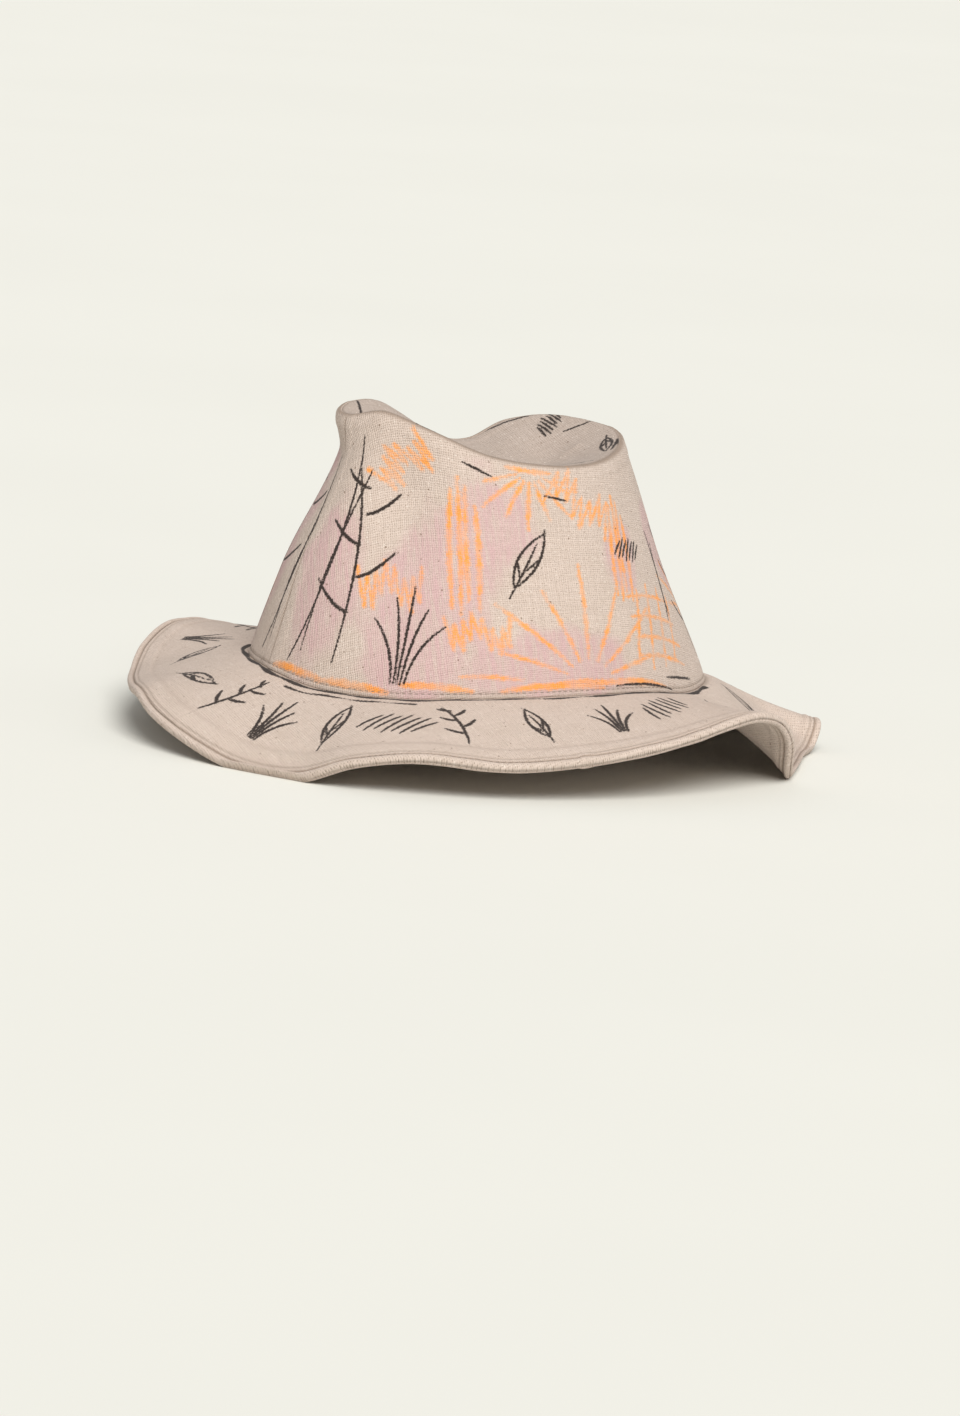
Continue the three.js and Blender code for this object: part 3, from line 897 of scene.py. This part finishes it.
def brim_layer(name, columns, rows, side, charcoal=()):
    """One layer of the brim: side is 1 for the upper and -1 for the lower."""
    clock, reach = np.meshgrid(-side * even_clocks(columns), brim_reaches(rows), indexing="ij")
    flat = brim_flat(clock, reach)[0]
    inset, thick = BRIM_WIDTH - reach, -UNDERSIDE
    roll = rounded(inset, thick)
    relief = edge_relief(clock, inset, flat) + unevenness(flat, BRIM_HUMPS[side])
    relief = relief * smoothstep(reach, 0, ROOT_CALM) * (1 - roll / thick)
    wrap = EDGE_WRAP * (roll / thick) ** 2
    tucked = wrap if side < 0 else 0
    outer = laid(clock, reach - tucked, side * (thick - roll + relief) - wrap)
    hidden_reach = np.minimum(thinned(reach), BRIM_WIDTH - EDGE_HIDDEN)
    inner = laid(thinned(clock), hidden_reach, side * TOUCHING + 0 * hidden_reach)
    fields = panel_fields(flat, thinned(flat), brim_seam_shade(clock, inset), charcoal=charcoal)
    return make_mesh(name, shell(outer + SHIFT, inner + SHIFT), fields)


# Stitches: short tubes, thick in the middle, whose ends dip into the cloth

STITCH_LENGTH, STITCH_PITCH, THREAD_RADIUS = 2.1, 2.7, 0.15
THREAD_SIDES, THREAD_RINGS = 6, 5
END_TAPER = 0.94
MIDDLE_LIFT, END_DIP = 0.9, 1.7


def along_path(length, values, place):
    return np.stack([np.interp(place, length, column) for column in values.T], axis=-1)


def stitch_row(name, line, normals):
    """Row of raised stitches along a closed line on the cloth, as one mesh."""
    line, normals = (np.concatenate([loop, loop[:1]]) for loop in (line, normals))
    length = np.concatenate([[0], np.cumsum(np.linalg.norm(np.diff(line, axis=0), axis=1))])
    count = int(length[-1] / STITCH_PITCH)
    middles = (np.arange(count) + 0.5) * length[-1] / count
    share = np.linspace(-1, 1, THREAD_RINGS)
    place = middles[:, None] + share * STITCH_LENGTH / 2
    along = along_path(length, line, place)
    up = unit(along_path(length, normals, place))
    beside = np.cross(unit(np.gradient(along, axis=1)), up)
    radius = THREAD_RADIUS * np.sqrt(1 - (END_TAPER * share) ** 2)
    lift = THREAD_RADIUS * (MIDDLE_LIFT - END_DIP * share**2)
    angle = np.arange(THREAD_SIDES) * 2 * math.pi / THREAD_SIDES
    ring = np.cos(angle)[:, None] * beside[:, :, None] + np.sin(angle)[:, None] * up[:, :, None]
    placed = (along + up * lift[:, None])[:, :, None] + ring * radius[:, None, None]
    placed[..., 2] = np.maximum(placed[..., 2], 0)
    index = np.arange(count * THREAD_RINGS * THREAD_SIDES).reshape(count, THREAD_RINGS, THREAD_SIDES)
    beyond = np.roll(index, -1, axis=2)
    tubes = np.stack([index[:, :-1], index[:, 1:], beyond[:, 1:], beyond[:, :-1]], axis=-1)
    faces = [tubes.reshape(-1, 4), index[:, 0], index[:, -1][:, ::-1]]
    run = np.repeat(place, THREAD_SIDES)
    fields = {"cloth": np.column_stack([run, 0 * run, 0 * run])}
    return make_mesh(name, (placed.reshape(-1, 3), faces), fields)


def brim_stitches(name, side):
    """Stitches in the outer groove of one layer of the brim."""
    clocks = even_clocks(BRIM_COLUMNS)
    inset = EDGE_GROOVES[0].inset + 0 * clocks
    reach = BRIM_WIDTH - inset
    flat = brim_flat(clocks, reach)[0]
    level = edge_relief(clocks, inset, flat) - UNDERSIDE
    normal = side * brim_normal(clocks, reach)
    return stitch_row(name, laid(clocks, reach, side * level) + SHIFT, normal @ UPRIGHT.T)


def crown_stitches(name):
    clocks = even_clocks(BRIM_COLUMNS)
    height = CROWN_STITCH_HEIGHT / WALL_SLANT + 0 * clocks
    normal = wall_normal(clocks, height)
    relief = wall_relief(clocks, height, wall_flat(clocks, height)[0])
    line = wall_point(clocks, height) + normal * relief[:, None]
    return stitch_row(name, stand(line) + SHIFT, normal @ UPRIGHT.T)


# Materials

CANVAS_COLOUR = (0.70, 0.585, 0.515)
DARK_SHARES, DEEP_SHARES = (0.78, 0.75, 0.71), (0.42, 0.37, 0.32)
# Whole tip panel darker than the rest: painted shade of the creased top
TIP_PAINTED_SHADE = 0.82
CHARCOAL_COLOUR = (0.035, 0.024, 0.02, 1)
CRAYON_COLOUR = (1.0, 0.35, 0.04, 1)
PINK_COLOUR = (0.62, 0.40, 0.405, 1)
FLECK_COLOUR = (0.16, 0.09, 0.05, 1)
NUB_COLOUR = (0.86, 0.78, 0.7, 1)
THREAD_COLOUR, THREAD_SHADE = (0.36, 0.29, 0.24), (0.72, 0.72, 0.72)
CANVAS_FINISH = {"Roughness": 0.92, "Sheen Weight": 0.08, "Sheen Roughness": 0.6, "Specular IOR Level": 0.25}
THREAD_FINISH = {"Roughness": 0.8, "Specular IOR Level": 0.3}

# Scales of the noises, in repeats to the millimetre, or two of them for across and along
SWAY_SCALE = 0.35
SLUB_LONG, SLUB_FINE = 0.07, 1.1
CLOUD_SCALE = 0.045
GRIT_SCALE = 1.3
ROUGH_SCALE = 0.9
NUB_SCALES = (0.34, 0.42)
RUB_SCALES = (0.55, 0.07)
PRESS_SCALE = 0.1
SKIP_SCALE = 0.22
FLECK_SCALE = 0.21
PLY_SCALES = (3.0, 1.0)
DETAIL, FINE_DETAIL = 2.0, 3.0

# Shares of each effect in the colour, the marks and the bump
# The seam share sets how dark the painted shade along the seams gets
SLUB_SHARE, CLOUD_SHARE, SEAM_SHADE_SHARE, PINK_SHARE = 0.32, 0.2, 0.85, 0.9
CRAYON_WEAVE, CHARCOAL_WEAVE = 0.5, 0.3
SLUB_BUMP = 0.35
THREAD_PITCH = 0.95
WEAVE_HEIGHT = 0.00025

# Ramps: the values between which each runs, and what it gives at the two
Ramp = namedtuple("Ramp", "low high first last", defaults=(0.0, 1.0))
EVEN = Ramp(0.3, 0.7)
PLY = Ramp(0.35, 0.65)
GAP_GRIT, GAPS = Ramp(0.3, 0.75, -0.1, 0.28), Ramp(0.38, -0.05, 0.0, 0.8)
NUBS = Ramp(0.1, 0.18, 0.45, 0.0)
GRAIN_GRIT, GRAIN = Ramp(0.25, 0.7, -0.25, 0.3), Ramp(-0.1, 0.6, 0.25, 1.0)
RUB = Ramp(0.25, 0.7, 0.3, 1.0)
CRAYON_ROUGH, CRAYON_SKIP = Ramp(0.2, 0.8, -0.45, 0.45), Ramp(0.3, 0.7, -0.3, 0.4)
CRAYON_EDGE = Ramp(-1.3, 0.5, 1.0, 0.0)
PRESS, WAX = Ramp(0.35, 0.65, 0.45, 1.0), Ramp(0.25, 1.0, 0.45, 0.93)
CHARCOAL_ROUGH, CHARCOAL_EDGE = Ramp(0.2, 0.8, -0.3, 0.3), Ramp(-0.3, 0.22, 1.0, 0.0)
FLECK_ROUGH, FLECKS = Ramp(0.3, 0.7, -0.05, 0.05), Ramp(0.05, 0.085, 0.7, 0.0)

# Sockets of the Mix node that carry colours
MIX_FIRST, MIX_SECOND, MIX_RESULT = 6, 7, 2


class Nodes:
    """Short calls for building one node material."""

    def __init__(self, name):
        self.material = bpy.data.materials.new(name)
        self.material.use_nodes = True
        self.tree = self.material.node_tree

    def feed(self, socket, value):
        if isinstance(value, bpy.types.NodeSocket):
            self.tree.links.new(value, socket)
        else:
            socket.default_value = value

    def node(self, kind, inputs, **settings):
        made = self.tree.nodes.new("ShaderNode" + kind)
        for key, value in settings.items():
            setattr(made, key, value)
        for key, value in inputs.items():
            self.feed(made.inputs[key], value)
        return made

    def field(self, name, output="Fac"):
        return self.node("Attribute", {}, attribute_name=name).outputs[output]

    def math(self, operation, *values):
        return self.node("Math", dict(enumerate(values)), operation=operation).outputs[0]

    def add(self, first, second):
        return self.math("ADD", first, second)

    def less(self, first, second):
        return self.math("SUBTRACT", first, second)

    def times(self, first, second):
        return self.math("MULTIPLY", first, second)

    def scaled(self, vector, x, y):
        return self.node("VectorMath", {0: vector, 1: (x, y, 1)}, operation="MULTIPLY").outputs[0]

    def noise(self, vector, scale, detail=DETAIL):
        return self.node("TexNoise", {"Vector": vector, "Scale": scale, "Detail": detail}).outputs[0]

    def cells(self, vector, scale):
        return self.node("TexVoronoi", {"Vector": vector, "Scale": scale}).outputs["Distance"]

    def ramp(self, value, ramp):
        inputs = dict(enumerate((value, *ramp)))
        return self.node("MapRange", inputs, interpolation_type="SMOOTHSTEP").outputs[0]

    def mix(self, share, first, second):
        inputs = {0: share, MIX_FIRST: first, MIX_SECOND: second}
        return self.node("Mix", inputs, data_type="RGBA").outputs[MIX_RESULT]

    def surface(self, inputs):
        """Sets the shader's own sockets and gives the material."""
        shader = self.tree.nodes["Principled BSDF"]
        for key, value in inputs.items():
            self.feed(shader.inputs[key], value)
        return self.material


def toned(colour, shares=(1, 1, 1)):
    return tuple(part * share for part, share in zip(colour, shares)) + (1,)


def woven(nodes, cloth):
    """Height from 0 to 1 of a plain weave's threads."""
    wander = nodes.node("TexNoise", {"Vector": cloth, "Scale": SWAY_SCALE}).outputs["Color"]
    swayed = nodes.node("VectorMath", {0: wander, 1: cloth}, operation="ADD").outputs[0]
    split = nodes.node("SeparateXYZ", {0: swayed}).outputs
    warp, weft = (nodes.math("SINE", nodes.times(split[axis], math.pi / THREAD_PITCH)) for axis in (0, 1))
    both = nodes.times(warp, weft)
    over = nodes.add(nodes.math("ABSOLUTE", warp), both)
    under = nodes.less(nodes.math("ABSOLUTE", weft), both)
    return nodes.times(nodes.math("MAXIMUM", over, under), 0.5)


def slubbed(nodes, cloth):
    """Thick places of the threads, both ways."""
    weft = nodes.noise(nodes.scaled(cloth, SLUB_LONG, SLUB_FINE), 1.0, FINE_DETAIL)
    warp = nodes.noise(nodes.scaled(cloth, SLUB_FINE, SLUB_LONG), 1.0, FINE_DETAIL)
    return nodes.add(nodes.ramp(weft, EVEN), nodes.ramp(warp, EVEN))


def bare_cotton(nodes, cloth, tint, slubs, gap):
    """Colour of bare canvas: darker in slubs and gaps, with pale nubs, and with painted shade along the
    seams.
    """
    light, dark, deep = toned(tint), toned(tint, DARK_SHARES), toned(tint, DEEP_SHARES)
    cloudy = nodes.ramp(nodes.noise(cloth, CLOUD_SCALE, FINE_DETAIL), EVEN)
    nubs = nodes.ramp(nodes.cells(nodes.scaled(cloth, *NUB_SCALES), 1.0), NUBS)
    colour = nodes.mix(nodes.times(slubs, SLUB_SHARE), light, dark)
    colour = nodes.mix(nodes.times(cloudy, CLOUD_SHARE), colour, dark)
    colour = nodes.mix(nodes.ramp(gap, GAPS), colour, deep)
    colour = nodes.mix(nubs, colour, NUB_COLOUR)
    # painted shade along the seams, grooves and creases, with some darkness of the stitch holes
    return nodes.mix(nodes.times(nodes.field("seam"), SEAM_SHADE_SHARE), colour, deep)


def pink_cover(nodes, cloth, grain):
    """Pigment rubbed on lightly, in streaks."""
    rub = nodes.ramp(nodes.noise(nodes.scaled(cloth, *RUB_SCALES), 1.0, FINE_DETAIL), RUB)
    return nodes.times(nodes.times(nodes.times(nodes.field("pink"), rub), grain), PINK_SHARE)


def crayon_cover(nodes, cloth, weave, rough, grain):
    """Wax on the high threads, with soft edges and uneven pressure."""
    edge = nodes.add(nodes.field("crayon"), nodes.ramp(rough, CRAYON_ROUGH))
    edge = nodes.add(edge, nodes.ramp(nodes.noise(cloth, SKIP_SCALE), CRAYON_SKIP))
    edge = nodes.less(edge, nodes.times(weave, CRAYON_WEAVE))
    press = nodes.ramp(nodes.noise(cloth, PRESS_SCALE), PRESS)
    wax = nodes.ramp(grain, WAX)
    return nodes.times(nodes.times(nodes.ramp(edge, CRAYON_EDGE), press), wax)


def charcoal_cover(nodes, weave, rough):
    edge = nodes.add(nodes.field("charcoal"), nodes.ramp(rough, CHARCOAL_ROUGH))
    return nodes.ramp(nodes.less(edge, nodes.times(weave, CHARCOAL_WEAVE)), CHARCOAL_EDGE)


def flecks(nodes, cloth, rough):
    distance = nodes.cells(cloth, FLECK_SCALE)
    return nodes.ramp(nodes.add(distance, nodes.ramp(rough, FLECK_ROUGH)), FLECKS)


def canvas(name, tint):
    """Matt natural canvas: uneven threads, flecks, and the marks that its fields carry."""
    nodes = Nodes(name)
    cloth = nodes.field("cloth", "Vector")
    weave, slubs = woven(nodes, cloth), slubbed(nodes, cloth)
    grit = nodes.noise(cloth, GRIT_SCALE)
    rough = nodes.noise(cloth, ROUGH_SCALE, FINE_DETAIL)
    gap = nodes.less(weave, nodes.ramp(grit, GAP_GRIT))
    grain = nodes.ramp(nodes.add(gap, nodes.ramp(grit, GRAIN_GRIT)), GRAIN)
    colour = bare_cotton(nodes, cloth, tint, slubs, gap)
    colour = nodes.mix(pink_cover(nodes, cloth, grain), colour, PINK_COLOUR)
    colour = nodes.mix(crayon_cover(nodes, cloth, weave, rough, grain), colour, CRAYON_COLOUR)
    colour = nodes.mix(charcoal_cover(nodes, weave, rough), colour, CHARCOAL_COLOUR)
    colour = nodes.mix(flecks(nodes, cloth, rough), colour, FLECK_COLOUR)
    height = nodes.add(weave, nodes.times(slubs, SLUB_BUMP))
    bump = nodes.node("Bump", {"Height": height, "Distance": WEAVE_HEIGHT, "Strength": 1.0})
    return nodes.surface({"Base Color": colour, "Normal": bump.outputs[0], **CANVAS_FINISH})


def thread(name):
    nodes = Nodes(name)
    ply = nodes.noise(nodes.scaled(nodes.field("cloth", "Vector"), *PLY_SCALES), 1.0)
    colour = nodes.mix(nodes.ramp(ply, PLY), toned(THREAD_COLOUR), toned(THREAD_COLOUR, THREAD_SHADE))
    return nodes.surface({"Base Color": colour, **THREAD_FINISH})


# Stage, seen at the photograph's angle: the hat's own origin falls on one pixel of the frame

FRAME_WIDTH, FRAME_HEIGHT = 960, 1416
ORIGIN_PIXEL = (478, 667)
PIXEL_SIZE = 0.435
CAMERA_DISTANCE = 3000
CAMERA_AZIMUTH, CAMERA_ELEVATION, CAMERA_ROLL = 59.7, 9.87, 4.4
SENSOR_SIZE = 36
CLIP_END = 100
FLOOR_COLOUR = (0.835, 0.835, 0.785, 1)
FLOOR_SHADE = (0.825, 0.825, 0.775, 1)
FLOOR_FINISH = {"Roughness": 0.95, "Specular IOR Level": 0.1}
FLOOR_HALF, FLOOR_NOISE_SCALE = 30, 3.0
WORLD_COLOUR, WORLD_STRENGTH = (1.0, 0.99, 0.97, 1), 0.41
KEY_COLOUR, KEY_STRENGTH = (1.0, 0.985, 0.955), 2.9
KEY_TURN, KEY_ELEVATION, KEY_ANGLE = 15, 46, 36


def toward(azimuth, elevation):
    """Direction from the hat to something seen at that azimuth and elevation."""
    a, e = math.radians(azimuth), math.radians(elevation)
    return Vector((math.sin(a) * math.cos(e), -math.cos(a) * math.cos(e), math.sin(e)))


def make_camera():
    back = toward(CAMERA_AZIMUTH, CAMERA_ELEVATION)
    level = toward(CAMERA_AZIMUTH + 90, 0)
    upward, roll = back.cross(level), math.radians(CAMERA_ROLL)
    right = level * math.cos(roll) + upward * math.sin(roll)
    up = upward * math.cos(roll) - level * math.sin(roll)
    origin = Vector(stand(np.zeros((1, 3)))[0] + SHIFT)
    across = (FRAME_WIDTH / 2 - ORIGIN_PIXEL[0]) * PIXEL_SIZE
    above = (ORIGIN_PIXEL[1] - FRAME_HEIGHT / 2) * PIXEL_SIZE
    data = bpy.data.cameras.new("camera")
    data.sensor_width = SENSOR_SIZE
    data.lens = SENSOR_SIZE * CAMERA_DISTANCE / (FRAME_HEIGHT * PIXEL_SIZE)
    data.clip_end = CLIP_END
    camera = new_object("camera", data)
    camera.location = (origin + right * across + up * above + back * CAMERA_DISTANCE) * MM
    turn_to(camera, Matrix((right, up, back)).transposed().to_quaternion())
    bpy.context.scene.camera = camera


def floor_material():
    nodes = Nodes("pale_floor")
    place = nodes.node("TexCoord", {}).outputs["Object"]
    cloudy = nodes.ramp(nodes.noise(place, FLOOR_NOISE_SCALE), EVEN)
    return nodes.surface({"Base Color": nodes.mix(cloudy, FLOOR_COLOUR, FLOOR_SHADE), **FLOOR_FINISH})


def make_stage():
    mesh = bpy.data.meshes.new("floor")
    corners = [(x * FLOOR_HALF, y * FLOOR_HALF, 0) for x, y in ((-1, -1), (1, -1), (1, 1), (-1, 1))]
    mesh.from_pydata(corners, [], [(0, 1, 2, 3)])
    mesh.materials.append(floor_material())
    floor = new_object("floor", mesh)
    world = bpy.data.worlds.new("studio")
    world.use_nodes = True
    background = world.node_tree.nodes["Background"]
    background.inputs["Color"].default_value = WORLD_COLOUR
    background.inputs["Strength"].default_value = WORLD_STRENGTH
    bpy.context.scene.world = world
    bpy.context.scene.view_settings.view_transform = "Standard"


def make_key_light():
    """Broad soft light, as even over the floor as over the hat."""
    data = bpy.data.lights.new("key", "SUN")
    data.angle = math.radians(KEY_ANGLE)
    data.energy = KEY_STRENGTH
    data.color = KEY_COLOUR
    light_from = toward(CAMERA_AZIMUTH + KEY_TURN, KEY_ELEVATION)
    turn_to(new_object("key", data), light_from.to_track_quat("Z", "Y"))


make_camera()
make_stage()
make_key_light()

# Assembly

# Record of a cut panel laid flat: width, length and area in metres, and how it is held; no panel is given
# one here
Cut = namedtuple("Cut", "width length area held rests_on")

brim_charcoal = draw(BRIM_CHARCOAL, brim_flat, BRIM_CHARCOAL_WIDTH)
brim_charcoal += [base_line(*row) for row in zip(*BASE_LINES.values())]
pieces = {
    "crown_side_left": crown_side("canvas_crown_left", 0, 180, LEFT_CRAYON, LEFT_CHARCOAL, LEFT_PINK),
    "crown_side_right": crown_side("canvas_crown_right", 180, 360, RIGHT_CRAYON, RIGHT_CHARCOAL, RIGHT_PINK),
    "crown_tip": crown_tip("canvas_crown_tip"),
    "brim_top": brim_layer("canvas_brim_top", BRIM_COLUMNS, BRIM_ROWS, 1, brim_charcoal),
    "brim_facing": brim_layer("canvas_brim_facing", FACING_COLUMNS, FACING_ROWS, -1),
}
for node, piece in pieces.items():
    # only the tip's colour is darkened, as painted shade of the creased top
    painted_shade = TIP_PAINTED_SHADE if node == "crown_tip" else 1.0
    piece.data.materials.append(canvas(piece.name, tuple(painted_shade * part for part in CANVAS_COLOUR)))
    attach(piece, "root")
    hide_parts(node)

stitches = (
    (brim_stitches("thread_brim_edge", 1), "brim_top"),
    (brim_stitches("thread_facing_edge", -1), "brim_facing"),
    (crown_stitches("thread_crown_foot"), "crown_side_left"),
)
for piece, node in stitches:
    piece.data.materials.append(thread(piece.name))
    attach(piece, "root")
